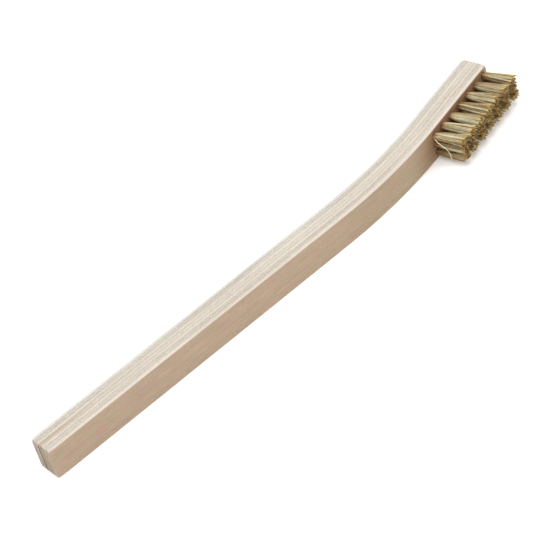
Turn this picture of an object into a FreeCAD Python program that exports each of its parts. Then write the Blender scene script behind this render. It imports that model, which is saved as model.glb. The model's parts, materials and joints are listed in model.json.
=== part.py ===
"""Brass scratch brush: a bent plywood handle with three columns of staple-set wire tufts.

Millimetres. The brush lies on one cut side of its handle: +X runs from the tail to the
tip, +Z goes up across the handle's width, and the tufts point to -Y. The origin is the
middle of the bounding box's underside.

Plies, holes and tufts are drawn in the head frame, whose origin is the centre of the
bend. There the head is straight along X and its bristle face looks to -Y. Turning the
head frame by the bend angle about Z lays the grip along the row's X axis.
"""

import FreeCAD, Part
import math
import os

import Sketcher

OUTPUT_FOLDER = "parts"
SHEET_NAME = "Dims"

DIMENSIONS = {
    "handle_width": 11.7,
    "handle_thickness": 9.0,
    "ply_count": 7,
    "grip_length": 120.3,
    "bend_radius": 187.2,
    "bend_angle": 14.1,
    "head_length": 32.0,
    "tip_corner": 1.2,
    "back_corner": 1.0,
    "edge_easing": 0.3,
    "tuft_rows": 7,
    "tuft_columns": 3,
    "row_pitch": 5.14,
    "column_pitch": 3.2,
    "tip_margin": 2.75,
    "hole_radius": 1.25,
    "hole_depth": 6.0,
    "cut_overrun": 0.1,
    "free_length": 12.0,
    "spread_along": 2.3,
    "spread_across": 1.5,
    "lean_across": 1.2,
    "fold_round": 0.5,
    "wire_gap": 0.02,
    "anchor_span": 3.2,
    "anchor_height": 1.6,
    "anchor_thickness": 0.3,
    "anchor_depth": 3.5,
}

PLY_NAMES = [
    "back_face_veneer",
    "cross_ply_back",
    "long_ply_back",
    "core_ply",
    "long_ply_front",
    "cross_ply_front",
    "bristle_face_veneer",
]
COLUMN_NAMES = ["lower", "middle", "upper"]

# Expressions that several sub-parts share, in the head frame. Radii are from the bend's centre.
FACE_RADIUS = "Dims.bend_radius + Dims.handle_thickness / 2"
TIP_ROW_X = "Dims.head_length - Dims.tip_margin"
LOW_COLUMN_Z = "Dims.handle_width / 2 - Dims.column_pitch * (Dims.tuft_columns - 1) / 2"

# How near two lengths have to be to count as the same, when an edge is looked up.
CLOSE = 0.001

document = FreeCAD.newDocument("ScratchBrush")


def make_sheet():
    """The driving dimensions, one alias to a row."""
    sheet = document.addObject("Spreadsheet::Sheet", SHEET_NAME)
    for row, (alias, value) in enumerate(DIMENSIONS.items(), 1):
        sheet.set(f"A{row}", alias)
        sheet.set(f"B{row}", str(value))
        sheet.setAlias(f"B{row}", alias)
    document.recompute()
    return sheet


def make_body(label):
    body = document.addObject("PartDesign::Body", label)
    body.Label = label
    return body


def origin_plane(body, role):
    for feature in body.Origin.OriginFeatures:
        if feature.Role == role:
            return feature
    raise ValueError(f"{body.Label} has no {role}")


def make_sketch(body, name, role, height=None):
    """A sketch on one of the body's origin planes, raised along its normal by an expression."""
    sketch = body.newObject("Sketcher::SketchObject", name)
    sketch.AttachmentSupport = [(origin_plane(body, role), "")]
    sketch.MapMode = "FlatFace"
    if height:
        sketch.setExpression("AttachmentOffset.Base.z", height)
    return sketch


def bind(sketch, constraint, expression):
    """Adds a dimension to the sketch and drives it from the sheet."""
    index = sketch.addConstraint(constraint)
    sketch.setExpression(f"Constraints[{index}]", expression)


def arc_of(radius, start, end):
    circle = Part.Circle(FreeCAD.Vector(0, 0, 0), FreeCAD.Vector(0, 0, 1), radius)
    return Part.ArcOfCircle(circle, start, end)


def line_from(start, direction, length):
    end = start + direction * length
    return Part.LineSegment(start, end)


def add_circle(sketch, x, y, radius):
    """A circle whose centre and radius are (value, expression) pairs."""
    centre = FreeCAD.Vector(x[0], y[0], 0)
    circle = sketch.addGeometry(Part.Circle(centre, FreeCAD.Vector(0, 0, 1), radius[0]))
    bind(sketch, Sketcher.Constraint("DistanceX", -1, 1, circle, 3, x[0]), x[1])
    bind(sketch, Sketcher.Constraint("DistanceY", -1, 1, circle, 3, y[0]), y[1])
    bind(sketch, Sketcher.Constraint("Radius", circle, radius[0]), radius[1])


def add_rectangle(sketch, x, y, width, height):
    """A rectangle with its lowest corner at (x, y). Each argument is a (value, expression) pair."""
    low = FreeCAD.Vector(x[0], y[0], 0)
    high = FreeCAD.Vector(x[0] + width[0], y[0] + height[0], 0)
    right = FreeCAD.Vector(high.x, low.y, 0)
    left = FreeCAD.Vector(low.x, high.y, 0)
    corners = [low, right, high, left]
    lines = []
    for start, end in zip(corners, corners[1:] + corners[:1]):
        lines.append(sketch.addGeometry(Part.LineSegment(start, end)))
    for first, second in zip(lines, lines[1:] + lines[:1]):
        sketch.addConstraint(Sketcher.Constraint("Coincident", first, 2, second, 1))
    bottom, side, top, other_side = lines
    for line in (bottom, top):
        sketch.addConstraint(Sketcher.Constraint("Horizontal", line))
    for line in (side, other_side):
        sketch.addConstraint(Sketcher.Constraint("Vertical", line))
    bind(sketch, Sketcher.Constraint("DistanceX", -1, 1, bottom, 1, x[0]), x[1])
    bind(sketch, Sketcher.Constraint("DistanceY", -1, 1, bottom, 1, y[0]), y[1])
    bind(sketch, Sketcher.Constraint("DistanceX", bottom, 1, bottom, 2, width[0]), width[1])
    bind(sketch, Sketcher.Constraint("DistanceY", side, 1, side, 2, height[0]), height[1])


sheet = make_sheet()


def evaluate(expression):
    """The number that a sheet expression stands for, used for a sketch's starting geometry."""
    return float(document.getObject(SHEET_NAME).evalExpression(expression))


def driven(expression):
    return evaluate(expression), expression


def ply_radius(boundary):
    """Radius of the bend at a ply boundary: 0 is the handle's back, ply_count its bristle face."""
    back = "Dims.bend_radius - Dims.handle_thickness / 2"
    return f"{back} + {boundary} * Dims.handle_thickness / Dims.ply_count"


def draw_ply_outline(sketch, inner_expression, outer_expression):
    """The bent strip between two concentric lines: inclined grip, arc, and head along X."""
    inner = evaluate(inner_expression)
    outer = evaluate(outer_expression)
    grip = evaluate("Dims.grip_length")
    head = evaluate("Dims.head_length")
    turn = math.radians(evaluate("Dims.bend_angle"))
    straight_down = -math.pi / 2
    along_head = FreeCAD.Vector(1, 0, 0)
    along_grip = FreeCAD.Vector(-math.cos(turn), math.sin(turn), 0)
    grip_normal = FreeCAD.Vector(-math.sin(turn), -math.cos(turn), 0)

    sides = []
    for radius, expression in ((inner, inner_expression), (outer, outer_expression)):
        bend = sketch.addGeometry(arc_of(radius, straight_down - turn, straight_down))
        grip_line = sketch.addGeometry(line_from(grip_normal * radius, along_grip, grip))
        head_start = FreeCAD.Vector(0, -radius, 0)
        head_line = sketch.addGeometry(line_from(head_start, along_head, head))
        sketch.addConstraint(Sketcher.Constraint("Coincident", bend, 3, -1, 1))
        bind(sketch, Sketcher.Constraint("Radius", bend, radius), expression)
        sketch.addConstraint(Sketcher.Constraint("Tangent", bend, 1, grip_line, 1))
        sketch.addConstraint(Sketcher.Constraint("Tangent", bend, 2, head_line, 1))
        sketch.addConstraint(Sketcher.Constraint("Horizontal", head_line))
        sides.append((grip_line, head_line))

    (inner_grip, inner_head), (outer_grip, outer_head) = sides
    tail_start = grip_normal * inner + along_grip * grip
    tail = sketch.addGeometry(line_from(tail_start, grip_normal, outer - inner))
    tip_start = FreeCAD.Vector(head, -inner, 0)
    tip = sketch.addGeometry(line_from(tip_start, FreeCAD.Vector(0, -1, 0), outer - inner))
    sketch.addConstraint(Sketcher.Constraint("Coincident", inner_grip, 2, tail, 1))
    sketch.addConstraint(Sketcher.Constraint("Coincident", outer_grip, 2, tail, 2))
    sketch.addConstraint(Sketcher.Constraint("Perpendicular", inner_grip, tail))
    sketch.addConstraint(Sketcher.Constraint("Parallel", inner_grip, outer_grip))
    sketch.addConstraint(Sketcher.Constraint("Coincident", inner_head, 2, tip, 1))
    sketch.addConstraint(Sketcher.Constraint("Coincident", outer_head, 2, tip, 2))
    sketch.addConstraint(Sketcher.Constraint("Vertical", tip))
    bind(sketch, Sketcher.Constraint("Distance", inner_grip, grip), "Dims.grip_length")
    bind(sketch, Sketcher.Constraint("DistanceX", -1, 1, tip, 1, head), "Dims.head_length")
    half_turn = math.pi - turn
    angle = Sketcher.Constraint("Angle", inner_head, 1, inner_grip, 1, half_turn)
    bind(sketch, angle, "180 - Dims.bend_angle")


def edges_where(shape, test):
    """Names of the edges whose middle and direction pass the test."""
    names = []
    for number, edge in enumerate(shape.Edges, 1):
        middle = edge.valueAt((edge.FirstParameter + edge.LastParameter) / 2)
        direction = edge.tangentAt((edge.FirstParameter + edge.LastParameter) / 2)
        if test(middle, direction):
            names.append(f"Edge{number}")
    return names


def round_edges(body, name, edges, radius):
    base = body.Tip
    fillet = body.newObject("PartDesign::Fillet", name)
    fillet.Base = (base, edges)
    fillet.setExpression("Radius", radius)
    document.recompute()


def cut_tip_corner(body, index):
    """Rounds the handle's bristle-side corner at the tip, as far as it lies in this ply."""
    front = evaluate("Dims.handle_thickness / Dims.ply_count") * (len(PLY_NAMES) - 1 - index)
    if front >= evaluate("Dims.tip_corner"):
        return
    head = evaluate("Dims.head_length")
    face = evaluate(FACE_RADIUS)
    radius = evaluate("Dims.tip_corner")
    volume = body.Shape.Volume
    sketch = make_sketch(body, "TipCornerOutline", "XY_Plane")
    centre = FreeCAD.Vector(head - radius, radius - face, 0)
    circle = Part.Circle(centre, FreeCAD.Vector(0, 0, 1), radius)
    arc = sketch.addGeometry(Part.ArcOfCircle(circle, -math.pi / 2, 0))
    corners = [
        FreeCAD.Vector(head, radius - face, 0),
        FreeCAD.Vector(head + radius, radius - face, 0),
        FreeCAD.Vector(head + radius, -face - radius, 0),
        FreeCAD.Vector(head - radius, -face - radius, 0),
        FreeCAD.Vector(head - radius, -face, 0),
    ]
    lines = []
    for start, end in zip(corners, corners[1:]):
        lines.append(sketch.addGeometry(Part.LineSegment(start, end)))
    inner, side, bottom, rise = lines
    sketch.addConstraint(Sketcher.Constraint("Coincident", arc, 2, inner, 1))
    sketch.addConstraint(Sketcher.Constraint("Coincident", inner, 2, side, 1))
    sketch.addConstraint(Sketcher.Constraint("Coincident", side, 2, bottom, 1))
    sketch.addConstraint(Sketcher.Constraint("Coincident", bottom, 2, rise, 1))
    sketch.addConstraint(Sketcher.Constraint("Coincident", rise, 2, arc, 1))
    for line in (inner, bottom):
        sketch.addConstraint(Sketcher.Constraint("Horizontal", line))
    for line in (side, rise):
        sketch.addConstraint(Sketcher.Constraint("Vertical", line))
    middle_x = "Dims.head_length - Dims.tip_corner"
    middle_y = f"Dims.tip_corner - ({FACE_RADIUS})"
    bind(sketch, Sketcher.Constraint("DistanceX", -1, 1, arc, 3, centre.x), middle_x)
    bind(sketch, Sketcher.Constraint("DistanceY", -1, 1, arc, 3, centre.y), middle_y)
    bind(sketch, Sketcher.Constraint("Radius", arc, radius), "Dims.tip_corner")
    bind(sketch, Sketcher.Constraint("DistanceX", -1, 1, arc, 1, centre.x), middle_x)
    bind(sketch, Sketcher.Constraint("DistanceY", -1, 1, arc, 2, centre.y), middle_y)
    far_x = "Dims.head_length + Dims.tip_corner"
    far_y = f"-({FACE_RADIUS}) - Dims.tip_corner"
    bind(sketch, Sketcher.Constraint("DistanceX", -1, 1, bottom, 1, head + radius), far_x)
    bind(sketch, Sketcher.Constraint("DistanceY", -1, 1, bottom, 1, -face - radius), far_y)
    pocket = body.newObject("PartDesign::Pocket", "TipCorner")
    pocket.Profile = sketch
    pocket.SideType = "Symmetric"
    pocket.setExpression("Length", "4 * Dims.handle_width")
    document.recompute()
    if body.Shape.Volume >= volume:
        raise ValueError(f"the tip corner cuts nothing out of {body.Label}")


def ease_ply_edges(body, index):
    """Rounds the edges of one ply that lie on the outside of the handle."""
    last = len(PLY_NAMES) - 1
    width = evaluate("Dims.handle_width")
    turn = math.radians(evaluate("Dims.bend_angle"))
    head = evaluate("Dims.head_length")
    grip = evaluate("Dims.grip_length")
    back = evaluate(ply_radius(0))
    face = evaluate(FACE_RADIUS)
    along_grip = FreeCAD.Vector(-math.cos(turn), math.sin(turn), 0)
    grip_normal = FreeCAD.Vector(-math.sin(turn), -math.cos(turn), 0)
    glued = [evaluate(ply_radius(boundary)) for boundary in range(1, last + 1)]

    def radius_of(point):
        """Distance from the bend's centre line, measured across the handle."""
        if point.x > 0:
            return -point.y
        if point.dot(along_grip) > 0:
            return point.dot(grip_normal)
        return math.hypot(point.x, point.y)

    def is_at_the_tail(point):
        return abs(point.dot(along_grip) - grip) < CLOSE

    def is_at_an_end(point):
        return abs(point.x - head) < CLOSE or is_at_the_tail(point)

    def is_back_corner(point, direction):
        on_the_back = abs(radius_of(point) - back) < CLOSE
        return abs(direction.z) > 0.9 and is_at_an_end(point) and on_the_back

    def is_outer_edge(point, direction):
        if abs(direction.z) > 0.9:
            return is_at_the_tail(point) and abs(radius_of(point) - face) < CLOSE
        if abs(point.z) > CLOSE and abs(point.z - width) > CLOSE:
            return False
        return all(abs(radius_of(point) - radius) > CLOSE for radius in glued)

    if index == 0:
        corners = edges_where(body.Shape, is_back_corner)
        round_edges(body, "BackCorners", corners, "Dims.back_corner")
    edges = edges_where(body.Shape, is_outer_edge)
    round_edges(body, "EasedEdges", edges, "Dims.edge_easing")


def cut_under_each_tuft(body, index, name, feature, draw):
    """Cuts the stretch of a hole or slot that lies in this ply, under every tuft.

    feature gives the depths below the bristle face where the cut starts and ends. The row
    nearest the tail stands where the bend begins, so a cut that passes a ply boundary runs
    past it by the overrun and leaves no skin on the curved side.
    """
    plies_in_front = len(PLY_NAMES) - 1 - index
    front = f"{plies_in_front} * Dims.handle_thickness / Dims.ply_count"
    behind = f"{plies_in_front + 1} * Dims.handle_thickness / Dims.ply_count"
    share = evaluate(f"min({feature[1]}; {behind}) - max({feature[0]}; {front})")
    if share <= CLOSE:
        return
    start = f"max({feature[0]}; {front} - Dims.cut_overrun)"
    end = f"min({feature[1]}; {behind} + Dims.cut_overrun)"
    volume = body.Shape.Volume
    sketch = make_sketch(body, f"{name}Outline", "XZ_Plane", f"{FACE_RADIUS} - {start}")
    draw(sketch)
    pocket = body.newObject("PartDesign::Pocket", name)
    pocket.Profile = sketch
    pocket.setExpression("Length", f"{end} - {start}")
    document.recompute()
    pattern = body.newObject("PartDesign::LinearPattern", f"{name}Pattern")
    pattern.Originals = [pocket]
    pattern.Direction = (sketch, ["H_Axis"])
    pattern.Reversed = True
    pattern.Direction2 = (sketch, ["V_Axis"])
    pattern.setExpression("Length", "Dims.row_pitch * (Dims.tuft_rows - 1)")
    pattern.setExpression("Occurrences", "Dims.tuft_rows")
    pattern.setExpression("Length2", "Dims.column_pitch * (Dims.tuft_columns - 1)")
    pattern.setExpression("Occurrences2", "Dims.tuft_columns")
    body.Tip = pattern
    document.recompute()
    if body.Shape.Volume >= volume:
        raise ValueError(f"{name} cuts nothing out of {body.Label}")


def draw_hole(sketch):
    """The hole of the tuft nearest the tip, in the lowest column."""
    x = driven(TIP_ROW_X)
    z = driven(LOW_COLUMN_Z)
    add_circle(sketch, x, z, driven("Dims.hole_radius"))


def draw_anchor_slot(sketch):
    """The slot that the anchor's two ends bite into the wood, under that same tuft."""
    x = driven(f"{TIP_ROW_X} - Dims.anchor_span / 2")
    z = driven(f"{LOW_COLUMN_Z} - Dims.anchor_thickness / 2")
    add_rectangle(sketch, x, z, driven("Dims.anchor_span"), driven("Dims.anchor_thickness"))


def make_ply(index, label):
    body = make_body(label)
    outline = make_sketch(body, "Outline", "XY_Plane")
    draw_ply_outline(outline, ply_radius(index), ply_radius(index + 1))
    pad = body.newObject("PartDesign::Pad", "Strip")
    pad.Profile = outline
    pad.setExpression("Length", "Dims.handle_width")
    document.recompute()
    cut_tip_corner(body, index)
    ease_ply_edges(body, index)
    hole = ("0", "Dims.hole_depth")
    slot = ("Dims.anchor_depth", "Dims.anchor_depth + Dims.anchor_height")
    cut_under_each_tuft(body, index, "Hole", hole, draw_hole)
    cut_under_each_tuft(body, index, "Slot", slot, draw_anchor_slot)
    return body


def add_ellipse(sketch, along, across, lean):
    """An ellipse up the sketch's vertical axis by the lean.

    The half axes and the lean are given as (value, expression) pairs.
    """
    centre = FreeCAD.Vector(0, lean[0], 0)
    ellipse = Part.Ellipse(centre, along[0], across[0])
    shape = sketch.addGeometry(ellipse)
    sketch.exposeInternalGeometry(shape)
    long_axis = shape + 1
    short_axis = shape + 2
    sketch.addConstraint(Sketcher.Constraint("PointOnObject", shape, 3, -2))
    sketch.addConstraint(Sketcher.Constraint("Horizontal", long_axis))
    bind(sketch, Sketcher.Constraint("DistanceY", -1, 1, shape, 3, lean[0]), lean[1])
    bind(sketch, Sketcher.Constraint("Distance", long_axis, 2 * along[0]), f"2 * {along[1]}")
    bind(sketch, Sketcher.Constraint("Distance", short_axis, 2 * across[0]), f"2 * {across[1]}")


def draw_round(sketch, radius):
    """A circle about the sketch's origin."""
    value = evaluate(radius)
    circle = sketch.addGeometry(
        Part.Circle(FreeCAD.Vector(0, 0, 0), FreeCAD.Vector(0, 0, 1), value)
    )
    sketch.addConstraint(Sketcher.Constraint("Coincident", circle, 3, -1, 1))
    bind(sketch, Sketcher.Constraint("Radius", circle, value), radius)


def make_tuft(label):
    """One folded bundle of wire, in its own frame: the origin is the hole's mouth and +Z is outward."""
    body = make_body(label)
    foot_radius = "Dims.hole_radius - Dims.wire_gap"

    foot_outline = make_sketch(body, "FootOutline", "XY_Plane")
    draw_round(foot_outline, foot_radius)
    foot = body.newObject("PartDesign::Pad", "Foot")
    foot.Profile = foot_outline
    foot.Reversed = True
    foot.setExpression("Length", "Dims.hole_depth - Dims.wire_gap")
    document.recompute()

    def is_bottom(point, direction):
        return point.z < CLOSE - evaluate("Dims.hole_depth - Dims.wire_gap")

    round_edges(body, "Fold", edges_where(body.Shape, is_bottom), "Dims.fold_round")

    root = make_sketch(body, "RootOutline", "XY_Plane")
    draw_round(root, foot_radius)
    tips = make_sketch(body, "TipOutline", "XY_Plane", "Dims.free_length")
    spreads = driven("Dims.spread_along"), driven("Dims.spread_across")
    add_ellipse(tips, *spreads, driven("Dims.lean_across"))
    brush = body.newObject("PartDesign::AdditiveLoft", "Brush")
    brush.Profile = root
    brush.Sections = [tips]
    document.recompute()

    volume = body.Shape.Volume
    slot_outline = make_sketch(body, "SlotOutline", "YZ_Plane")
    add_rectangle(
        slot_outline,
        driven("-Dims.anchor_thickness / 2 - Dims.wire_gap"),
        driven("-Dims.anchor_depth - Dims.anchor_height - Dims.wire_gap"),
        driven("Dims.anchor_thickness + 2 * Dims.wire_gap"),
        driven("Dims.anchor_height + 2 * Dims.wire_gap"),
    )
    slot = body.newObject("PartDesign::Pocket", "AnchorSlot")
    slot.Profile = slot_outline
    slot.SideType = "Symmetric"
    slot.setExpression("Length", "2 * Dims.anchor_span")
    document.recompute()
    if body.Shape.Volume >= volume:
        raise ValueError(f"the anchor's slot cuts nothing out of {label}")
    return body


def make_anchor(label):
    """The flat wire that pins one bundle into its hole."""
    anchor = document.addObject("Part::Box", label)
    anchor.Label = label
    anchor.setExpression("Length", "Dims.anchor_span")
    anchor.setExpression("Width", "Dims.anchor_thickness")
    anchor.setExpression("Height", "Dims.anchor_height")
    return anchor


def tuft_frame(row, column):
    """Placement of a tuft's own frame in the head frame. Row 1 is nearest the tail."""
    rows_from_tip = int(evaluate("Dims.tuft_rows")) - row
    x = evaluate(f"{TIP_ROW_X} - {rows_from_tip} * Dims.row_pitch")
    z = evaluate(f"{LOW_COLUMN_Z} + {column} * Dims.column_pitch")
    mouth = FreeCAD.Vector(x, -evaluate(FACE_RADIUS), z)
    outward = FreeCAD.Rotation(FreeCAD.Vector(1, 0, 0), 90)
    return FreeCAD.Placement(mouth, outward)


def anchor_frame():
    """Placement of an anchor's corner in its tuft's frame."""
    corner = FreeCAD.Vector(
        evaluate("-Dims.anchor_span / 2"),
        evaluate("-Dims.anchor_thickness / 2"),
        evaluate("-Dims.anchor_depth - Dims.anchor_height"),
    )
    return FreeCAD.Placement(corner, FreeCAD.Rotation())


def make_all():
    """Every sub-part and its placement in the head frame."""
    here = FreeCAD.Placement()
    made = []
    for index, name in enumerate(PLY_NAMES):
        made.append((make_ply(index, name), here))
    for row in range(1, int(evaluate("Dims.tuft_rows")) + 1):
        for column, column_name in enumerate(COLUMN_NAMES):
            frame = tuft_frame(row, column)
            made.append((make_tuft(f"tuft_{row}_{column_name}"), frame))
            anchor = make_anchor(f"anchor_{row}_{column_name}")
            made.append((anchor, frame.multiply(anchor_frame())))
    return made


def place_in_row_frame(made):
    """Turns the grip along X and puts the origin in the middle of the underside's box."""
    turn = FreeCAD.Rotation(FreeCAD.Vector(0, 0, 1), evaluate("Dims.bend_angle"))
    laid = FreeCAD.Placement(FreeCAD.Vector(0, 0, 0), turn)
    for part, frame in made:
        part.Placement = laid.multiply(frame)
    document.recompute()
    box = FreeCAD.BoundBox()
    for part, _ in made:
        box.add(part.Shape.optimalBoundingBox(False))
    shift = FreeCAD.Vector(-box.Center.x, -box.Center.y, -box.ZMin)
    moved = FreeCAD.Placement(shift, FreeCAD.Rotation())
    for part, frame in made:
        part.Placement = moved.multiply(laid).multiply(frame)
    document.recompute()


def check_document(made):
    for thing in document.Objects:
        if "Invalid" in thing.State or "Error" in thing.State:
            raise ValueError(f"{thing.Label} did not build: {thing.State}")
    for part, _ in made:
        if part.Shape.isNull() or not part.Shape.isValid():
            raise ValueError(f"{part.Label} has no valid shape")


def write_parts(made):
    os.makedirs(OUTPUT_FOLDER, exist_ok=True)
    for part, _ in made:
        part.Shape.exportStep(os.path.join(OUTPUT_FOLDER, f"{part.Label}.step"))


parts = make_all()
place_in_row_frame(parts)
check_document(parts)
write_parts(parts)
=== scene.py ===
"""Looks of the brass scratch brush: sanded plywood plies and 21 tufts of separate brass wires.

The brush lies on one cut side of its handle on a pale floor. Sizes are in millimetres until
a mesh is made, and everything is in the CAD model's frame.
"""

import json
import math

import bpy
import numpy as np
from mathutils import Matrix, Vector, noise


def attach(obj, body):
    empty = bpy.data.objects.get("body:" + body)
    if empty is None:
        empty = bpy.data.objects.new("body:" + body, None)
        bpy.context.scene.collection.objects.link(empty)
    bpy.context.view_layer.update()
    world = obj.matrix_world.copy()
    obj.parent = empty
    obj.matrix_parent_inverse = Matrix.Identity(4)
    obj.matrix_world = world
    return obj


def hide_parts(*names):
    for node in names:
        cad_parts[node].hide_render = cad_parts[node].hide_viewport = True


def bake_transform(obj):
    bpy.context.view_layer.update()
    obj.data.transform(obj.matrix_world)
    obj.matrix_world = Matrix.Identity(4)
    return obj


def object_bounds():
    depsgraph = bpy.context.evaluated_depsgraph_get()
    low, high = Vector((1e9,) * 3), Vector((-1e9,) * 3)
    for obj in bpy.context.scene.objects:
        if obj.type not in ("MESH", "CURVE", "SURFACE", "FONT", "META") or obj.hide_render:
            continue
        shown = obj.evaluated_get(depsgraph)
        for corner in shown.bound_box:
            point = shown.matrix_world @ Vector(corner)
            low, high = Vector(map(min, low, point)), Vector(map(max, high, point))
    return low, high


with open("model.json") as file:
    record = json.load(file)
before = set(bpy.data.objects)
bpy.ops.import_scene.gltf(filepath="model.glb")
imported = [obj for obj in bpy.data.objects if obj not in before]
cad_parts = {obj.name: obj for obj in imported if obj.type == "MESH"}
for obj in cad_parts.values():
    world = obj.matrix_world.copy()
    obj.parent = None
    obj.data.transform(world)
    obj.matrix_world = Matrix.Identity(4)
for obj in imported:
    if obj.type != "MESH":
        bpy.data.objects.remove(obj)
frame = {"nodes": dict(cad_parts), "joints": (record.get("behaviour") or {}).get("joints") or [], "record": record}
cad_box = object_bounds()

MM = 0.001

# The handle's design sizes, and its plies from the back to the bristle face.
WIDTH = 11.7
THICKNESS = 9.0
GRIP_LENGTH = 120.3
BEND_RADIUS = 187.2
BEND_ANGLE = math.radians(14.1)
HEAD_LENGTH = 32.0
LENGTH = GRIP_LENGTH + BEND_RADIUS * BEND_ANGLE + HEAD_LENGTH
PLY_MATERIALS = {
    "back_face_veneer": "face_veneer",
    "cross_ply_back": "cross_grain_ply",
    "long_ply_back": "long_grain_ply",
    "core_ply": "cross_grain_ply",
    "long_ply_front": "long_grain_ply",
    "cross_ply_front": "cross_grain_ply",
    "bristle_face_veneer": "face_veneer",
}
PLY_COUNT = len(PLY_MATERIALS)
PLY_THICKNESS = THICKNESS / PLY_COUNT

# Radii of the handle's upright corners halfway up, and what wear adds to them near the sawn
# sides. The outer edges are eased as well, most of all around the two ends.
TIP_CORNER = 0.8
BACK_CORNER = 1.0
TAIL_CORNER = 0.5
TIP_WEAR = 1.8
BACK_WEAR = 0.5
WEAR_DEPTH = 1.8
EASING = 0.3
SLIGHTEST_EASING = 0.16
END_EASING = 0.7
END_EASING_FADE = 1.5

# How far each ply ends short of the sawn ends, and the furrows along the glue lines.
END_SINK = (0.02, 0.05, 0.01, 0.12, 0.0, 0.04, 0.02)
FURROW_WIDTH = 0.05
FURROW_DEPTH = 0.04

# Distances from an edge at which the mesh of a ply has its first grid lines, how those go on
# from the ends and from the sawn sides, and the steps between the lines past them.
CROWD = (0.0, 0.03, 0.09, 0.17, 0.27, 0.40)
FROM_ENDS = (*CROWD, 0.6, 0.9, 1.2, 1.6, 2.0, 2.4)
FROM_SIDES = (*CROWD, 0.6, 0.85, 1.2, 1.6)
STEP_ALONG = 0.8
STEP_ON_FACE = 0.65
STEP_INSIDE = 2.2

# Lengths below this count as none, and points this near a side of the block lie on it.
TINY = 1e-9
ON_SIDE = 1e-6

# The holes, the anchors' slots and the tufts. A slot's top and bottom are depths below the
# bristle face.
ROWS = 7
COLUMNS = {"lower": -1, "middle": 0, "upper": 1}
COLUMN_PITCH = 3.2
HOLE_RADIUS = 1.25
HOLE_DEPTH = 6.0
HOLE_SIDES = 40
SLOT_SPAN = 3.2
SLOT_WIDTH = 0.3
SLOT_TOP = 3.5
SLOT_BOTTOM = 5.1
FREE_LENGTH = 12.0
LEAN = 1.2
WIRE_RADIUS = 0.075
WIRE_SIDES = 5
WIRES = 167
STRANDS = 30

# How far a bundle widens by its tip along and across the head, and how much the lean of bundles
# and the tips of strands, of wires and of the few stray wires vary. At its tip a wire stands
# PARTING times as far from its strand's middle as at its root.
SPREAD = (2.35, 1.65)
LEAN_UNEVEN = (0.16, 0.10)
STRAND_UNEVEN = (0.26, 0.20)
WIRE_UNEVEN = 0.10
STRAY_UNEVEN = 0.5
STRAY_SHARE = 0.08
PARTING = 1.3

# The least and the most by which a wire ends short of the full trim.
LEAST_SHORT = 0.08
MOST_SHORT = 1.2

# A wire's points, as shares of its free length.
WIRE_POINTS = (0.14, 0.30, 0.46, 0.62, 0.80, 1.0)

# How far from the bundle's leaning middle a wire's tip may lie. Less room is left above the
# upper bundles, which end level with the handle's upper side.
TIP_LIMIT_ALONG = 2.26
TIP_LIMIT_ACROSS = 2.0
TOP_ROOM = 1.38

# The loose wire of the first row: (along, across, out) from its hole's mouth.
LOOSE_WIRE = [
    (-0.95, 0.10, -2.0),
    (-1.10, 0.20, 0.0),
    (-1.80, 0.30, 1.5),
    (-2.30, -0.30, 2.8),
    (-2.45, -1.10, 4.45),
    (-2.45, -1.95, 5.80),
    (-2.45, -3.60, 6.60),
    (-2.40, -5.70, 6.90),
]
LOOSE_RADIUS = 0.10

# Shades of wires: a bundle's own run from 0, tarnished, to 1, and the loose wire is clean metal.
# The middle bundles are darkened to match the dark band of the photo's first row.
# That darkening of the middle bundles is painted shade.
LOOSE_SHADE = 3.0
MIDDLE_PAINTED_SHADE = 0.3

# Colours of the wood, as linear light. The pale colour of the eased edges is a painted highlight.
LONG_LIGHT = (0.560, 0.508, 0.446)
LONG_DARK = (0.425, 0.374, 0.314)
CROSS_LIGHT = (0.495, 0.456, 0.400)
CROSS_DARK = (0.355, 0.314, 0.260)
FACE_LIGHT = (0.428, 0.322, 0.232)
FACE_DARK = (0.292, 0.208, 0.141)
EDGE_HIGHLIGHT = (0.560, 0.505, 0.432)
VESSEL = (0.28, 0.21, 0.15)
FACE_VESSEL = (0.30, 0.19, 0.11)
STREAK = (0.36, 0.275, 0.20)
GLUE = (0.36, 0.26, 0.17)
OPENED = (0.13, 0.085, 0.055)

# Tints that multiply the wood's colour. Some are painted light and shade: the highlight at the back of the sawn
# side, the light low on the faces, the warm light and shade by the tufts, and part of the darkness of the ends.
BACK_HIGHLIGHT = (0.99, 1.06, 1.14)
REDDER = (1.08, 0.94, 0.98)
YELLOWER = (0.94, 1.0, 0.84)
PAINTED_LOW_LIGHT = (1.05, 1.06, 1.07)
PAST_GRIP = (0.91, 0.92, 0.88)
TUFT_BOUNCE_AND_SHADE = (0.84, 0.60, 0.45)
LONG_END_GRAIN_AND_SHADE = (0.75, 0.66, 0.59)
CROSS_END_GRAIN_AND_SHADE = (0.86, 0.78, 0.70)

# The glue joint that has opened at the sawn ends, as an offset towards the bristles.
OPEN_JOINT = 0.64

# Colours of the brass, and the tints of its cut ends and of its roots. The root tint is painted shade deep in the
# bundles.
BRASS_LIGHT = (0.67, 0.63, 0.42)
BRASS_DARK = (0.30, 0.175, 0.060)
BRASS_CLEAN = (0.95, 0.84, 0.62)
BRASS_TIP = (1.12, 0.96, 0.62)
BRASS_ROOT_SHADE = (0.80, 0.52, 0.36)

# The drawn steel and the floor, and the light the floor gives off.
STEEL_LIGHT = (0.68, 0.67, 0.64)
STEEL_DARK = (0.42, 0.41, 0.39)
FLOOR_LIGHT = (0.96, 0.96, 0.955)
FLOOR_DARK = (0.93, 0.93, 0.93)
FLOOR_GLOW = 0.12


def joint_point(row):
    """The hinge of a row of tufts: the mouth of its middle hole."""
    for joint in frame["joints"]:
        if joint["name"] == f"row_{row}_flex":
            return Vector(joint["pos_m"]) / MM
    raise ValueError(f"row {row} has no hinge")


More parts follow.
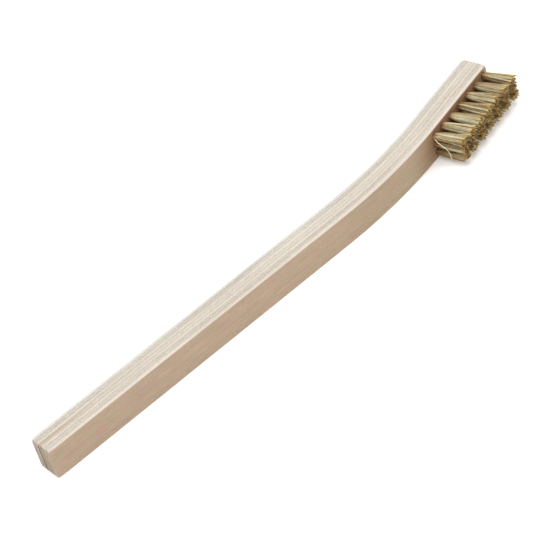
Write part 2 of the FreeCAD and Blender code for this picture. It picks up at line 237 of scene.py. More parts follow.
# The grip's centre line and the bend's centre, in the row frame.
TAIL_X = cad_box[0].x / MM
GRIP_Y = frame["record"]["mounts"][0]["pos_m"][1] / MM
BEND_CENTRE = (TAIL_X + GRIP_LENGTH, GRIP_Y + BEND_RADIUS)
ALONG_HEAD = (joint_point(ROWS) - joint_point(1)).normalized()
OUT_OF_HEAD = Vector((ALONG_HEAD.y, -ALONG_HEAD.x, 0))


# ---------------------------------------------------------------- camera, light and floor


def place_camera():
    """A long lens above the bristle side of the tail, rolled so the handle runs up the picture."""
    azimuth = math.radians(-30.25)
    elevation = math.radians(42.31)
    roll = math.radians(17.24)
    aim = Vector((-4.77, -0.38, 2.83))
    distance = 819.8
    flat = math.cos(elevation)
    back = Vector((math.sin(azimuth) * flat, -math.cos(azimuth) * flat, math.sin(elevation)))
    level = Vector((math.cos(azimuth), math.sin(azimuth), 0))
    upright = back.cross(level)
    right = level * math.cos(roll) - upright * math.sin(roll)
    up = back.cross(right)
    lens = bpy.data.cameras.new("camera")
    lens.lens = 173.3
    lens.sensor_width = 36
    lens.clip_start = 0.01
    camera = bpy.data.objects.new("camera", lens)
    turn = Matrix((right, up, back)).transposed().to_4x4()
    camera.matrix_world = Matrix.Translation((aim + back * distance) * MM) @ turn
    bpy.context.collection.objects.link(camera)
    bpy.context.scene.camera = camera


def add_area_light(name, place, size, power, colour):
    """A square soft box aimed at the middle of the brush. The place is in metres."""
    light = bpy.data.lights.new(name, "AREA")
    light.shape = "SQUARE"
    light.size = size
    light.energy = power
    light.color = colour
    box = bpy.data.objects.new(name, light)
    box.location = place
    box.rotation_euler = Vector(place).to_track_quat("Z", "Y").to_euler()
    bpy.context.collection.objects.link(box)


def light_scene():
    """A white room with a large box overhead and a warmer one past the tip."""
    world = bpy.data.worlds.new("studio")
    world.use_nodes = True
    background = world.node_tree.nodes["Background"]
    background.inputs["Color"].default_value = (1.0, 1.0, 1.0, 1)
    background.inputs["Strength"].default_value = 0.78
    bpy.context.scene.world = world
    add_area_light("overhead_box", (-0.10, 0.10, 1.0), 1.4, 13.0, (1.0, 0.99, 0.97))
    add_area_light("side_box", (0.9, -0.55, 0.5), 0.5, 2.5, (1.0, 0.97, 0.92))
    bpy.context.scene.view_settings.view_transform = "Standard"


def lay_floor():
    """A pale floor at the underside of the brush, with a very slight unevenness in its tone."""
    bpy.ops.mesh.primitive_grid_add(x_subdivisions=8, y_subdivisions=8, size=8, location=(0, 0, 0))
    floor = bpy.context.object
    floor.name = "floor"
    material, nodes, surface = new_material("pale_floor")
    cloud = nodes.noise(nodes.object_point(), 3.0, 2.0)
    nodes.link(nodes.blend(cloud, FLOOR_DARK, FLOOR_LIGHT), surface, "Base Color")
    surface.inputs["Roughness"].default_value = 0.9
    surface.inputs["Emission Color"].default_value = (1.0, 1.0, 1.0, 1)
    surface.inputs["Emission Strength"].default_value = FLOOR_GLOW
    floor.data.materials.append(material)


# ---------------------------------------------------------------- shader building


class Nodes:
    """Short calls that add nodes to a tree. Arguments are sockets, numbers or tuples."""

    def __init__(self, tree):
        self.tree = tree

    def put(self, value, socket):
        if isinstance(value, bpy.types.NodeSocket):
            self.tree.links.new(value, socket)
        elif isinstance(value, tuple) and len(value) == 3 and socket.type == "RGBA":
            socket.default_value = (*value, 1)
        else:
            socket.default_value = value

    def link(self, value, node, name):
        self.put(value, node.inputs[name])

    def object_point(self):
        return self.tree.nodes.new("ShaderNodeTexCoord").outputs["Object"]

    def object_normal(self):
        return self.tree.nodes.new("ShaderNodeTexCoord").outputs["Normal"]

    def attribute(self, name):
        node = self.tree.nodes.new("ShaderNodeAttribute")
        node.attribute_name = name
        return node.outputs["Fac"]

    def math(self, operation, *values, clamp=False):
        node = self.tree.nodes.new("ShaderNodeMath")
        node.operation = operation
        node.use_clamp = clamp
        for value, socket in zip(values, node.inputs):
            self.put(value, socket)
        return node.outputs[0]

    def split(self, vector):
        node = self.tree.nodes.new("ShaderNodeSeparateXYZ")
        self.put(vector, node.inputs[0])
        return node.outputs

    def join(self, x, y, z):
        node = self.tree.nodes.new("ShaderNodeCombineXYZ")
        for value, socket in zip((x, y, z), node.inputs):
            self.put(value, socket)
        return node.outputs[0]

    def noise(self, vector, scale, detail, roughness=0.5, distortion=0.0):
        node = self.tree.nodes.new("ShaderNodeTexNoise")
        self.put(vector, node.inputs["Vector"])
        node.inputs["Scale"].default_value = scale
        node.inputs["Detail"].default_value = detail
        node.inputs["Roughness"].default_value = roughness
        node.inputs["Distortion"].default_value = distortion
        return node.outputs["Fac"]

    def cells(self, vector, scale):
        """Distance to the nearest point of a scattered set."""
        node = self.tree.nodes.new("ShaderNodeTexVoronoi")
        self.put(vector, node.inputs["Vector"])
        node.inputs["Scale"].default_value = scale
        return node.outputs["Distance"]

    def ramp(self, value, low, high, from_value=0.0, to_value=1.0):
        """Smoothly carries the value from low..high to from_value..to_value."""
        node = self.tree.nodes.new("ShaderNodeMapRange")
        node.interpolation_type = "SMOOTHSTEP"
        for name, number in (
            ("Value", value),
            ("From Min", low),
            ("From Max", high),
            ("To Min", from_value),
            ("To Max", to_value),
        ):
            self.put(number, node.inputs[name])
        return node.outputs["Result"]

    def blend(self, share, first, second, mode="MIX"):
        node = self.tree.nodes.new("ShaderNodeMix")
        node.data_type = "RGBA"
        node.blend_type = mode
        self.put(share, node.inputs[0])
        self.put(first, node.inputs[6])
        self.put(second, node.inputs[7])
        return node.outputs[2]

    def swing(self, base, value, amount, clamp=False):
        """The base, moved by how far the value is from one half."""
        away = self.math("SUBTRACT", value, 0.5)
        return self.math("MULTIPLY_ADD", away, amount, base, clamp=clamp)

    def bump(self, height, strength, distance):
        node = self.tree.nodes.new("ShaderNodeBump")
        node.inputs["Strength"].default_value = strength
        node.inputs["Distance"].default_value = distance
        self.put(height, node.inputs["Height"])
        return node.outputs[0]


def new_material(name):
    """A material, the calls that add to its tree, and its surface shader."""
    material = bpy.data.materials.new(name)
    material.use_nodes = True
    tree = material.node_tree
    return material, Nodes(tree), tree.nodes["Principled BSDF"]


# ---------------------------------------------------------------- wood


def handle_coordinates(nodes):
    """Millimetres along the handle, out towards the bristle face and up its width, then how
    far the surface faces outwards and onwards."""
    x, y, z = nodes.split(nodes.object_point())
    east = nodes.math("SUBTRACT", nodes.math("DIVIDE", x, MM), BEND_CENTRE[0])
    north = nodes.math("SUBTRACT", nodes.math("DIVIDE", y, MM), BEND_CENTRE[1])
    south = nodes.math("MULTIPLY", north, -1.0)
    turn = nodes.math("ARCTAN2", east, south)
    turn = nodes.math("MINIMUM", nodes.math("MAXIMUM", turn, 0.0), BEND_ANGLE)
    sine = nodes.math("SINE", turn)
    cosine = nodes.math("COSINE", turn)
    out = nodes.math("MULTIPLY_ADD", east, sine, nodes.math("MULTIPLY", south, cosine))
    offset = nodes.math("SUBTRACT", out, BEND_RADIUS)
    ahead = nodes.math("MULTIPLY_ADD", east, cosine, nodes.math("MULTIPLY", north, sine))
    bent = nodes.math("MULTIPLY_ADD", turn, BEND_RADIUS, GRIP_LENGTH)
    along = nodes.math("ADD", ahead, bent)
    across = nodes.math("DIVIDE", z, MM)
    normal = nodes.split(nodes.object_normal())
    normal_south = nodes.math("MULTIPLY", normal[1], -1.0)
    facing_south = nodes.math("MULTIPLY", normal_south, cosine)
    faces_out = nodes.math("MULTIPLY_ADD", normal[0], sine, facing_south)
    facing_north = nodes.math("MULTIPLY", normal[1], sine)
    faces_on = nodes.math("MULTIPLY_ADD", normal[0], cosine, facing_north)
    return along, offset, across, faces_out, faces_on


def make_wood(name, along_fibres, light, dark, seed):
    """Sanded birch. The fibres run along the handle, or across its width in the cross plies."""
    material, nodes, surface = new_material(name)
    along, offset, across, faces_out, faces_on = handle_coordinates(nodes)

    def grain(stretch, fineness, shift):
        """A point in a space squeezed along the fibres."""
        squeeze = fineness / stretch
        squeezes = (squeeze, fineness, fineness) if along_fibres else (fineness, fineness, squeeze)
        parts = []
        for value, factor in zip((along, offset, across), squeezes):
            parts.append(nodes.math("MULTIPLY_ADD", value, factor, seed + shift))
        return nodes.join(*parts)

    # Broad tone, growth streaks, fine fibres and the short dark vessels of birch.
    cloud = nodes.noise(nodes.join(nodes.math("MULTIPLY", along, 0.06), offset, across), 0.35, 2.0)
    streak = nodes.noise(grain(28.0, 1.5, 3.0), 1.0, 4.0, 0.6, 0.4)
    fibre = nodes.noise(grain(22.0, 7.0, 11.0), 1.0, 3.0, 0.65)
    vessel_cells = nodes.cells(grain(14.0, 3.4, 23.0), 1.0)
    vessel = nodes.ramp(vessel_cells, 0.06, 0.17, 1.0, 0.0)
    speck = nodes.noise(grain(1.0, 2.6, 37.0), 1.0, 2.0, 0.6)

    tone = nodes.swing(0.5, streak, 1.5)
    tone = nodes.swing(tone, fibre, 0.9)
    tone = nodes.swing(tone, cloud, 1.6)
    tone = nodes.swing(tone, speck, 2.5)
    if not along_fibres:
        core = nodes.ramp(nodes.math("ABSOLUTE", offset), 0.55, 0.75, 0.35, 0.0)
        tone = nodes.math("ADD", tone, core)
    tone = nodes.math("ADD", tone, 0.0, clamp=True)
    sawn = nodes.blend(tone, dark, light)
    sawn = nodes.blend(nodes.math("MULTIPLY", vessel, 0.45), sawn, VESSEL)

    # The sawn side is painted paler and whiter towards the back, a painted highlight, and creamy towards the
    # bristles.
    side = nodes.ramp(offset, -4.6, -1.2, 1.0, 0.0)
    sawn = nodes.blend(side, sawn, BACK_HIGHLIGHT, "MULTIPLY")

    # The rubbed face veneers are tanner than their sawn edges.
    flat_on = nodes.ramp(nodes.math("ABSOLUTE", faces_out), 0.55, 0.95)
    mottle_point = nodes.join(nodes.math("MULTIPLY", along, 0.12), 0.0, across)
    mottle = nodes.noise(mottle_point, 0.8, 3.0, 0.6)
    face_tone = nodes.swing(0.5, mottle, 0.9)
    face_tone = nodes.swing(face_tone, streak, 0.55)
    face_tone = nodes.swing(face_tone, fibre, 0.6)
    face_tone = nodes.swing(face_tone, speck, 1.1, clamp=True)
    face = nodes.blend(face_tone, FACE_DARK, FACE_LIGHT)
    patch_point = nodes.join(nodes.math("MULTIPLY", along, 0.5), 4.0, across)
    patch = nodes.noise(patch_point, 0.6, 4.0, 0.75)
    face = nodes.blend(nodes.ramp(patch, 0.50, 0.68, 0.0, 1.0), face, REDDER, "MULTIPLY")
    face = nodes.blend(nodes.ramp(patch, 0.32, 0.49, 1.0, 0.0), face, YELLOWER, "MULTIPLY")
    face = nodes.blend(nodes.math("MULTIPLY", vessel, 0.22), face, FACE_VESSEL)

    # The faces are painted paler low down as painted light, darker past the grip, and warmer and darker around the
    # tufts as painted bounce light and shade.
    face = nodes.blend(nodes.ramp(across, 0.5, 6.0, 1.0, 0.0), face, PAINTED_LOW_LIGHT, "MULTIPLY")
    past_grip = nodes.ramp(along, GRIP_LENGTH - 15.0, GRIP_LENGTH + 15.0)
    face = nodes.blend(past_grip, face, PAST_GRIP, "MULTIPLY")
    # Painted bounce light from the brass and painted shade: the face is warmer and darker by the tufts.
    bounce_by_tufts = nodes.ramp(along, GRIP_LENGTH + 30.0, GRIP_LENGTH + 48.0, 0.0, 0.8)
    bounce_by_tufts = nodes.math("MULTIPLY", bounce_by_tufts, nodes.ramp(offset, 4.0, 4.4))
    short_of_tip = nodes.ramp(along, LENGTH - 3.0, LENGTH - 1.5, 1.0, 0.0)
    bounce_by_tufts = nodes.math("MULTIPLY", bounce_by_tufts, short_of_tip)
    face = nodes.blend(bounce_by_tufts, face, TUFT_BOUNCE_AND_SHADE, "MULTIPLY")
    colour = nodes.blend(flat_on, sawn, face)

    # The sawn ends are darker, partly from their end grain and partly as painted shade, and one glue joint has
    # opened there.
    end_on = nodes.ramp(nodes.math("ABSOLUTE", faces_on), 0.45, 0.9)
    colour = nodes.blend(end_on, colour, LONG_END_GRAIN_AND_SHADE if along_fibres else CROSS_END_GRAIN_AND_SHADE, "MULTIPLY")
    opened = nodes.math("ABSOLUTE", nodes.math("SUBTRACT", offset, OPEN_JOINT))
    opened = nodes.math("MULTIPLY", nodes.ramp(opened, 0.12, 0.55, 0.85, 0.0), end_on)
    colour = nodes.blend(opened, colour, OPENED)

    # A brown streak in the core near the tail, with ragged ends.
    near_tail = nodes.swing(along, streak, 9.0)
    in_core = nodes.math("ABSOLUTE", nodes.math("ADD", offset, 0.15))
    near_tail = nodes.ramp(near_tail, 8.0, 27.0, 0.8, 0.0)
    in_core = nodes.ramp(in_core, 0.42, 0.68, 1.0, 0.0)
    colour = nodes.blend(nodes.math("MULTIPLY", near_tail, in_core), colour, STREAK)

    # Glue lines between plies, thin and uneven.
    ply_place = nodes.math("DIVIDE", nodes.math("ADD", offset, THICKNESS / 2), PLY_THICKNESS)
    to_glue = nodes.math("MULTIPLY", nodes.math("PINGPONG", ply_place, 0.5), PLY_THICKNESS)
    inside = nodes.ramp(nodes.math("ABSOLUTE", offset), 3.9, 4.1, 1.0, 0.0)
    uneven = nodes.noise(nodes.join(nodes.math("MULTIPLY", along, 0.5), offset, across), 1.6, 2.0)
    glue = nodes.ramp(to_glue, 0.02, nodes.math("MULTIPLY_ADD", uneven, 0.14, 0.03), 1.0, 0.0)
    glue = nodes.math("MULTIPLY", nodes.math("MULTIPLY", glue, inside), 0.26)
    colour = nodes.blend(glue, colour, GLUE)

    # Eased edges are painted paler: a painted highlight where they catch the light.
    half = WIDTH / 2
    from_middle = nodes.math("ABSOLUTE", nodes.math("SUBTRACT", across, half))
    to_side = nodes.math("MAXIMUM", nodes.math("SUBTRACT", half, from_middle), 0.0)
    to_face = nodes.math("SUBTRACT", THICKNESS / 2, nodes.math("ABSOLUTE", offset))
    edge = nodes.math("ADD", to_side, nodes.math("MAXIMUM", to_face, 0.0))
    edge_highlight = nodes.ramp(edge, 0.18, 0.55, 0.75, 0.0)
    colour = nodes.blend(edge_highlight, colour, EDGE_HIGHLIGHT)
    nodes.link(colour, surface, "Base Color")

    rough = nodes.math("MULTIPLY_ADD", fibre, 0.16, 0.50)
    nodes.link(nodes.math("MULTIPLY_ADD", end_on, 0.12, rough), surface, "Roughness")
    surface.inputs["Specular IOR Level"].default_value = 0.32
    height = nodes.math("MULTIPLY_ADD", vessel, -0.8, fibre)
    height = nodes.math("MULTIPLY_ADD", speck, 0.5, height)
    height = nodes.math("MULTIPLY_ADD", glue, -1.2, height)
    nodes.link(nodes.bump(height, 0.5, 0.00006), surface, "Normal")
    return material


def make_woods():
    """The wood of each material slot. The last numbers place its grain."""
    return {
        "face_veneer": make_wood("face_veneer", True, LONG_LIGHT, LONG_DARK, 5.0),
        "long_grain_ply": make_wood("long_grain_ply", True, LONG_LIGHT, LONG_DARK, 71.0),
        "cross_grain_ply": make_wood("cross_grain_ply", False, CROSS_LIGHT, CROSS_DARK, 43.0),
    }


def corner_radius(s, o, z):
    """Radius of the handle's nearest upright corner, with the wear near the sawn sides."""
    at_tip = s > LENGTH / 2
    radius = np.where(o > 0, np.where(at_tip, TIP_CORNER, TAIL_CORNER), BACK_CORNER)
    wear = np.where((o > 0) & at_tip, TIP_WEAR, BACK_WEAR)
    near = np.clip(1 - np.minimum(z, WIDTH - z) / WEAR_DEPTH, 0, 1)
    return radius + wear * (1 - np.sqrt(1 - near**2))


def round_handle(s, o, z, easing):
    """Moves points of the square handle block so that its corners and edges are rounded."""
    radius = corner_radius(s, o, z)
    core_s = np.clip(s, radius, LENGTH - radius)
    core_o = np.clip(o, radius - THICKNESS / 2, THICKNESS / 2 - radius)
    ds = s - core_s
    do = o - core_o
    reach = np.maximum(np.hypot(ds, do), TINY)
    in_corner = (np.abs(ds) > TINY) & (np.abs(do) > TINY)
    to_end = np.minimum(s, LENGTH - s)
    to_face = THICKNESS / 2 - np.abs(o)
    ends = to_end < to_face
    normal_s = np.where(in_corner, ds / reach, np.where(ends, np.sign(s - LENGTH / 2), 0))
    normal_o = np.where(in_corner, do / reach, np.where(ends, 0, np.sign(o)))
    outermost = np.maximum(np.abs(ds), np.abs(do))
    depth = np.where(in_corner, radius - outermost, np.minimum(to_end, to_face))
    s = np.where(in_corner, core_s + normal_s * outermost, s)
    o = np.where(in_corner, core_o + normal_o * outermost, o)

    height = np.minimum(z, WIDTH - z)
    away = np.maximum(easing - depth, 0.0)
    up = np.maximum(easing - height, 0.0)
    span = np.maximum(np.hypot(away, up), TINY)
    on_edge = (away > TINY) & (up > TINY)
    excess = np.where(on_edge, 1 - np.maximum(away, up) / span, 0.0)
    s = s - normal_s * away * excess
    o = o - normal_o * away * excess
    z = np.where(z < WIDTH / 2, z + up * excess, z - up * excess)
    return s, o, z


def to_row_frame(s, o, z):
    """Handle coordinates to the row frame."""
    turn = np.clip((s - GRIP_LENGTH) / BEND_RADIUS, 0, BEND_ANGLE)
    sine, cosine = np.sin(turn), np.cos(turn)
    ahead = s - GRIP_LENGTH - BEND_RADIUS * turn
    out = BEND_RADIUS + o
    x = BEND_CENTRE[0] + out * sine + ahead * cosine
    y = BEND_CENTRE[1] - out * cosine + ahead * sine
    return np.stack([x, y, z], axis=-1)


def wavy(s, scale, seed):
    """Smooth noise between -1 and 1 along the handle."""
    return np.array([noise.noise(Vector((v * scale, seed, 0.5))) for v in s])


def stations(start, end, step, fine):
    """Grid lines from start to end, crowded by the given distances at both ends."""
    count = max(2, round((end - start - 2 * fine[-1]) / step))
    middle = np.linspace(start + fine[-1], end - fine[-1], count + 1)
    low = [start + f for f in fine[:-1]]
    high = [end - f for f in reversed(fine[:-1])]
    return np.concatenate([low, middle, high])


def ply_grid(index):
    """Grid lines of one ply along, out of and across the handle."""
    low = index * PLY_THICKNESS - THICKNESS / 2
    high = low + PLY_THICKNESS
    along = stations(0, LENGTH, STEP_ALONG, FROM_ENDS)
    step = STEP_ON_FACE if index in (0, PLY_COUNT - 1) else STEP_INSIDE
    across = stations(0, WIDTH, step, FROM_SIDES)
    out = [low, low + 0.05, (low + high) / 2, high - 0.05, high]
    if index == 0:
        out = [low + f for f in (*CROWD, 0.55, 0.8)] + out[3:]
    if index == PLY_COUNT - 1:
        out = out[:2] + [high - f for f in (1.2, 0.9, 0.6)] + [high - f for f in reversed(CROWD)]
    return along, np.array(sorted(set(out))), across


def shape_ply(index, s, o, z):
    """The worn shape of one ply: eased edges, slight furrows at the glue lines, uneven sanding."""
    easing = EASING * (1 + 0.35 * wavy(s, 0.11, 3.7) + 0.2 * wavy(s, 0.9, 9.1))
    to_end = np.minimum(s, LENGTH - s)
    easing = np.clip(easing, SLIGHTEST_EASING, EASING * 1.5)
    easing = easing + END_EASING * np.exp(-to_end / END_EASING_FADE)
    nearest = np.round((o + THICKNESS / 2) / PLY_THICKNESS)
    inner = (nearest > 0.5) & (nearest < PLY_COUNT - 0.5)
    gap = np.abs((o + THICKNESS / 2) / PLY_THICKNESS - nearest) * PLY_THICKNESS
    furrow = np.where(inner, np.clip(1 - gap / FURROW_WIDTH, 0, 1), 0.0) * FURROW_DEPTH
    sanded = 0.02 * (1 + wavy(s, 0.07, 20.0 + index))
    torn = np.array([noise.noise(Vector((v * 1.3, index * 5.0, 2.0))) for v in z])
    at_end = END_SINK[index] + 0.05 * (1 + torn)
    side = (z < ON_SIDE) | (z > WIDTH - ON_SIDE)
    end = (s < ON_SIDE) | (s > LENGTH - ON_SIDE)
    s, o, z = round_handle(s, o, z, easing)
    sink = furrow + sanded
    z = np.where(side, np.where(z < WIDTH / 2, z + sink, z - sink), z)
    sink = furrow + at_end
    s = np.where(end, np.where(s < LENGTH / 2, s + sink, s - sink), s)
    return s, o, z


def grid_box(lines):
    """Corner coordinates and faces of the six sides of a box with these grid lines."""
    counts = [len(line) for line in lines]
    index = -np.ones(counts, int)
    grid = np.indices(counts)
    shell = np.zeros(counts, bool)
    for axis in range(3):
        shell |= (grid[axis] == 0) | (grid[axis] == counts[axis] - 1)
    index[shell] = np.arange(shell.sum())
    points = [lines[axis][grid[axis][shell]] for axis in range(3)]
    faces = []
    for axis in range(3):
        for last in (False, True):
            sheet = np.take(index, -1 if last else 0, axis=axis)
            quads = np.stack([sheet[:-1, :-1], sheet[1:, :-1], sheet[1:, 1:], sheet[:-1, 1:]], -1)
            flip = last == (axis == 1)
            quads = quads.reshape(-1, 4)
            faces.append(quads[:, ::-1] if flip else quads)
    return points, np.concatenate(faces)


def make_object(name, points, faces, material):
    """A mesh object from points in millimetres."""
    mesh = bpy.data.meshes.new(name)
    mesh.from_pydata((np.asarray(points) * MM).tolist(), [], faces)
    mesh.validate()
    mesh.materials.append(material)
    made = bpy.data.objects.new(name, mesh)
    bpy.context.collection.objects.link(made)
    return made


def shade_by_angle(piece, degrees):
    """Smooth shading, with edges sharper than this angle kept crisp."""
    piece.data.shade_smooth()
    piece.data.set_sharp_from_angle(angle=math.radians(degrees))


def cylinder(centre, axis, radius, length, sides):
    """Points and faces of a closed cylinder starting at centre and running along axis."""
    side = axis.orthogonal().normalized()
    other = axis.cross(side)
    points = []
    for step in (0, length):
        for k in range(sides):
            angle = 2 * math.pi * k / sides
            point = centre + axis * step + side * radius * math.cos(angle)
            points.append(point + other * radius * math.sin(angle))
    faces = [tuple(reversed(range(sides))), tuple(range(sides, 2 * sides))]
    for k in range(sides):
        n = (k + 1) % sides
        faces.append((k, n, sides + n, sides + k))
    return points, faces


def block(centre, half):
    """Points and faces of a box turned with the head. Half sizes go along, out and up."""
    corners = []
    for a in (-1, 1):
        for b in (-1, 1):
            for c in (-1, 1):
                corner = centre + ALONG_HEAD * half[0] * a + OUT_OF_HEAD * half[1] * b
                corners.append(corner + Vector((0, 0, half[2] * c)))
    faces = [(0, 1, 3, 2), (4, 6, 7, 5), (0, 4, 5, 1), (2, 3, 7, 6), (0, 2, 6, 4), (1, 5, 7, 3)]
    return corners, faces


def mouth_of(row, column):
    """The middle of a hole's mouth on the bristle face."""
    return joint_point(row) + Vector((0, 0, COLUMN_PITCH * COLUMNS[column]))


def make_cutters(material):
    """The drilled holes as one object and the anchors' slots as another."""
    overrun = 1.0
    slot_half = (SLOT_SPAN / 2, (SLOT_BOTTOM - SLOT_TOP) / 2, SLOT_WIDTH / 2)
    holes, slots = ([], []), ([], [])
    for row in range(1, ROWS + 1):
        for column in COLUMNS:
            mouth = mouth_of(row, column)
            start = mouth + OUT_OF_HEAD * overrun
            depth = HOLE_DEPTH + overrun
            drill = cylinder(start, -OUT_OF_HEAD, HOLE_RADIUS, depth, HOLE_SIDES)
            middle = mouth - OUT_OF_HEAD * (SLOT_TOP + SLOT_BOTTOM) / 2
            slot = block(middle, slot_half)
            for (points, faces), cutter in ((drill, holes), (slot, slots)):
                shift = len(cutter[0])
                cutter[0].extend(points)
                cutter[1].extend([tuple(i + shift for i in face) for face in faces])
    made = []
    for name, (points, faces) in (("drill", holes), ("slotter", slots)):
        tool = make_object(name, [tuple(p) for p in points], faces, material)
        fix_normals(tool)
        made.append(tool)
    return made


def fix_normals(piece):
    """Turns every face outwards."""
    bpy.context.view_layer.objects.active = piece
    piece.select_set(True)
    bpy.ops.object.mode_set(mode="EDIT")
    bpy.ops.mesh.select_all(action="SELECT")
    bpy.ops.mesh.normals_make_consistent(inside=False)
    bpy.ops.object.mode_set(mode="OBJECT")
    piece.select_set(False)


def cut(piece, tool):
    """Takes the tool's volume out of the piece."""
    modifier = piece.modifiers.new("cut", "BOOLEAN")
    modifier.operation = "DIFFERENCE"
    modifier.solver = "MANIFOLD"
    modifier.object = tool
    graph = bpy.context.evaluated_depsgraph_get()
    result = bpy.data.meshes.new_from_object(piece.evaluated_get(graph))
    piece.modifiers.remove(modifier)
    if not result.polygons:
        raise ValueError(f"the cut left nothing of {piece.name}")
    piece.data = result


def make_plies(wood):
    """The seven plies, drilled and slotted, each riding on the handle."""
    drill, slotter = make_cutters(wood["long_grain_ply"])
    for index, (name, slot) in enumerate(PLY_MATERIALS.items()):
        (s, o, z), faces = grid_box(ply_grid(index))
        points = to_row_frame(*shape_ply(index, s, o, z))
        ply = make_object(f"{name}_sanded", points, faces.tolist(), wood[slot])
        fix_normals(ply)
        top = THICKNESS - (index + 1) * PLY_THICKNESS
        if top < HOLE_DEPTH:
            cut(ply, drill)
        if top < SLOT_BOTTOM and top + PLY_THICKNESS > SLOT_TOP:
            cut(ply, slotter)
        shade_by_angle(ply, 40)
        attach(ply, "handle")
        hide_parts(name)
    for tool in (drill, slotter):
        bpy.data.objects.remove(tool)


# ---------------------------------------------------------------- metal


def make_brass():
    """Drawn brass wire, dulled khaki, with painted shade making it darker and redder low in the bundle, and warmer
    at the cut ends.
    """
    material, nodes, surface = new_material("brass_wire")
    shade = nodes.attribute("wire_shade")
    depth = nodes.attribute("wire_reach")
    tarnish = nodes.noise(nodes.object_point(), 900.0, 3.0, 0.6)
    tone = nodes.swing(shade, tarnish, 0.8, clamp=True)
    colour = nodes.blend(tone, BRASS_DARK, BRASS_LIGHT)
    colour = nodes.blend(nodes.ramp(shade, 1.5, 2.5), colour, BRASS_CLEAN)
    colour = nodes.blend(nodes.ramp(depth, 0.82, 0.97, 0.0, 0.8), colour, BRASS_TIP, "MULTIPLY")
    # Painted shade deep in the bundle: the wires are darker and redder near their roots.
    root_shade = nodes.ramp(depth, -0.1, 0.35, 0.75, 0.0)
    colour = nodes.blend(root_shade, colour, BRASS_ROOT_SHADE, "MULTIPLY")
    nodes.link(colour, surface, "Base Color")
    surface.inputs["Metallic"].default_value = 0.6
    nodes.link(nodes.math("MULTIPLY_ADD", tarnish, 0.25, 0.30), surface, "Roughness")
    scratch = nodes.noise(nodes.object_point(), 6000.0, 2.0)
    nodes.link(nodes.bump(scratch, 0.3, 0.00001), surface, "Normal")
    return material


def make_steel():
    """Flat drawn anchor wire with faint lengthwise lines."""
    material, nodes, surface = new_material("anchor_wire")
    x, y, z = nodes.split(nodes.object_point())
    drawn = nodes.noise(nodes.join(x, nodes.math("MULTIPLY", y, 0.1), z), 5000.0, 3.0)
    nodes.link(nodes.blend(drawn, STEEL_DARK, STEEL_LIGHT), surface, "Base Color")
    surface.inputs["Metallic"].default_value = 1.0
    nodes.link(nodes.math("MULTIPLY_ADD", drawn, 0.2, 0.28), surface, "Roughness")
    nodes.link(nodes.bump(drawn, 0.4, 0.00001), surface, "Normal")
    return material


def smooth_curve(points, steps):
    """A Catmull-Rom curve through the points."""
    points = np.asarray(points, float)
    padded = np.concatenate([[2 * points[0] - points[1]], points, [2 * points[-1] - points[-2]]])
    made = []
    for k in range(len(points) - 1):
        a, b, c, d = padded[k : k + 4]
        for step in range(steps):
            t = step / steps
            square = (2 * a - 5 * b + 4 * c - d) * t**2
            cube = (3 * b - a - 3 * c + d) * t**3
            made.append(0.5 * (2 * b + (c - a) * t + square + cube))
    made.append(points[-1])
    return np.array(made)


def tube(path, radius, sides):
    """A ring of points at each path point, and the faces of the closed tube."""
    path = np.asarray(path, float)
    direction = np.gradient(path, axis=0)
    direction /= np.linalg.norm(direction, axis=1)[:, None]
    upright = abs(direction[0][2]) >= 0.8
    side = np.cross(direction, (1.0, 0.2, 0.1) if upright else (0.31, 0.17, 0.93))
    side /= np.linalg.norm(side, axis=1)[:, None]
    other = np.cross(direction, side)
    angles = 2 * math.pi * np.arange(sides) / sides
    cosines = np.cos(angles)[None, :, None]
    sines = np.sin(angles)[None, :, None]
    ring = side[:, None, :] * cosines + other[:, None, :] * sines
    points = (path[:, None, :] + ring * radius).reshape(-1, 3)
    faces = []
    for k in range(len(path) - 1):
        for j in range(sides):
            n = (j + 1) % sides
            faces.append((k * sides + j, k * sides + n, (k + 1) * sides + n, (k + 1) * sides + j))
    last = (len(path) - 1) * sides
    faces.append(tuple(reversed(range(sides))))
    faces.append(tuple(range(last, last + sides)))
    return points, faces


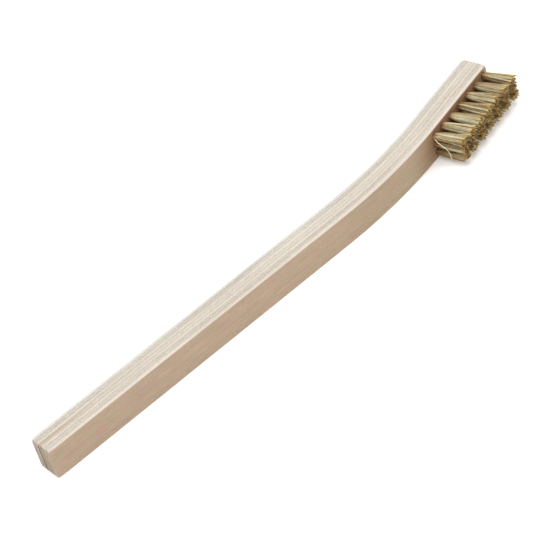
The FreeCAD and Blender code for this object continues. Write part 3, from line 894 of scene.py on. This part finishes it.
def wire_paths(random, room_above):
    """Paths and shades of one bundle's wires, as (along, across, out) from the hole's mouth.

    Wires cling together in strands, which part from each other towards their tips. The bundle
    leans, and no wire's tip lies further than room_above beyond that lean.
    """
    golden = math.pi * (3 - math.sqrt(5))

    def packed(count, reach):
        """Evenly packed points in a disc."""
        number = np.arange(count) + 0.5
        radius = reach * np.sqrt(number / count)
        return np.stack([radius * np.cos(number * golden), radius * np.sin(number * golden)], -1)

    roots = packed(WIRES, HOLE_RADIUS - WIRE_RADIUS - 0.05) + random.normal(0, 0.03, (WIRES, 2))
    centres = packed(STRANDS, HOLE_RADIUS) + random.normal(0, 0.10, (STRANDS, 2))
    owner = np.argmin(((roots[:, None] - centres[None]) ** 2).sum(-1), axis=1)
    reach = np.array(SPREAD) * random.uniform(0.94, 1.06, 2)
    lean = random.normal(0, 1, 2) * LEAN_UNEVEN
    strand_tips = centres / HOLE_RADIUS * reach + lean
    strand_tips = strand_tips + random.normal(0, 1, (STRANDS, 2)) * STRAND_UNEVEN
    strand_length = random.normal(0, 0.16, STRANDS)
    strand_shade = random.uniform(-0.15, 1.15, STRANDS)
    strand_bow = random.normal(0, 0.12, (STRANDS, 2))
    low = (-TIP_LIMIT_ALONG, -TIP_LIMIT_ACROSS)
    high = (TIP_LIMIT_ALONG, room_above)
    made = []
    for root, strand in zip(roots, owner):
        tip = strand_tips[strand] + (root - centres[strand]) * PARTING
        tip = tip + random.normal(0, WIRE_UNEVEN, 2)
        if random.random() < STRAY_SHARE:
            tip = tip + random.normal(0, STRAY_UNEVEN, 2)
        tip = np.clip(tip, low, high) + (0, LEAN)
        short = abs(random.normal(0, 0.16)) + abs(strand_length[strand]) + LEAST_SHORT
        length = FREE_LENGTH - min(short, MOST_SHORT)
        bow = strand_bow[strand] + random.normal(0, 0.05, 2)
        path = [(*root, -0.40 * FREE_LENGTH), (*root, 0.0)]
        for share in WIRE_POINTS:
            place = root + (tip - root) * share**0.95 + bow * math.sin(math.pi * share)
            path.append((*place, share * length))
        shade = np.clip(strand_shade[strand] + random.normal(0, 0.22), 0, 1)
        made.append((path, WIRE_RADIUS, shade))
    return made


def make_tuft(row, column, brass):
    """One bundle of separate wires, their ends running out of sight into its hole."""
    random = np.random.default_rng(1000 + 10 * row + COLUMNS[column])
    mouth = np.array(mouth_of(row, column))
    along = np.array(ALONG_HEAD)
    out = np.array(OUT_OF_HEAD)
    up = np.array((0.0, 0.0, 1.0))
    points, faces, shades, reaches = [], [], [], []
    paths = wire_paths(random, TOP_ROOM if column == "upper" else TIP_LIMIT_ACROSS)
    if (row, column) == (1, "upper"):
        paths.append((smooth_curve(LOOSE_WIRE, 6), LOOSE_RADIUS, LOOSE_SHADE))
    count = 0
    for path, radius, shade in paths:
        path = np.asarray(path, float)
        placed = mouth + path[:, :1] * along + path[:, 1:2] * up + path[:, 2:3] * out
        ring, sides = tube(placed, radius, WIRE_SIDES)
        points.append(ring)
        faces.extend([tuple(i + count for i in face) for face in sides])
        count += len(ring)
        # The middle bundles get painted shade.
        shades.extend([shade - MIDDLE_PAINTED_SHADE * (column == "middle")] * len(ring))
        reaches.extend(np.repeat(path[:, 2] / FREE_LENGTH, WIRE_SIDES))
    tuft = make_object(f"brass_wires_{row}_{column}", np.concatenate(points), faces, brass)
    for name, values in (("wire_shade", shades), ("wire_reach", reaches)):
        layer = tuft.data.attributes.new(name, "FLOAT", "POINT")
        layer.data.foreach_set("value", np.asarray(values, np.float32))
    shade_by_angle(tuft, 50)
    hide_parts(f"tuft_{row}_{column}")
    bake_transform(tuft)


def make_tufts():
    """All 21 bundles of wires, row by row."""
    brass = make_brass()
    for row in range(1, ROWS + 1):
        for column in COLUMNS:
            make_tuft(row, column, brass)


def finish_anchors():
    """The anchors keep their CAD shape and get drawn steel."""
    steel = make_steel()
    for name, node in frame["nodes"].items():
        if name.startswith("anchor_"):
            node.data.materials.clear()
            node.data.materials.append(steel)


wood = make_woods()
place_camera()
light_scene()
lay_floor()
make_plies(wood)
make_tufts()
finish_anchors()
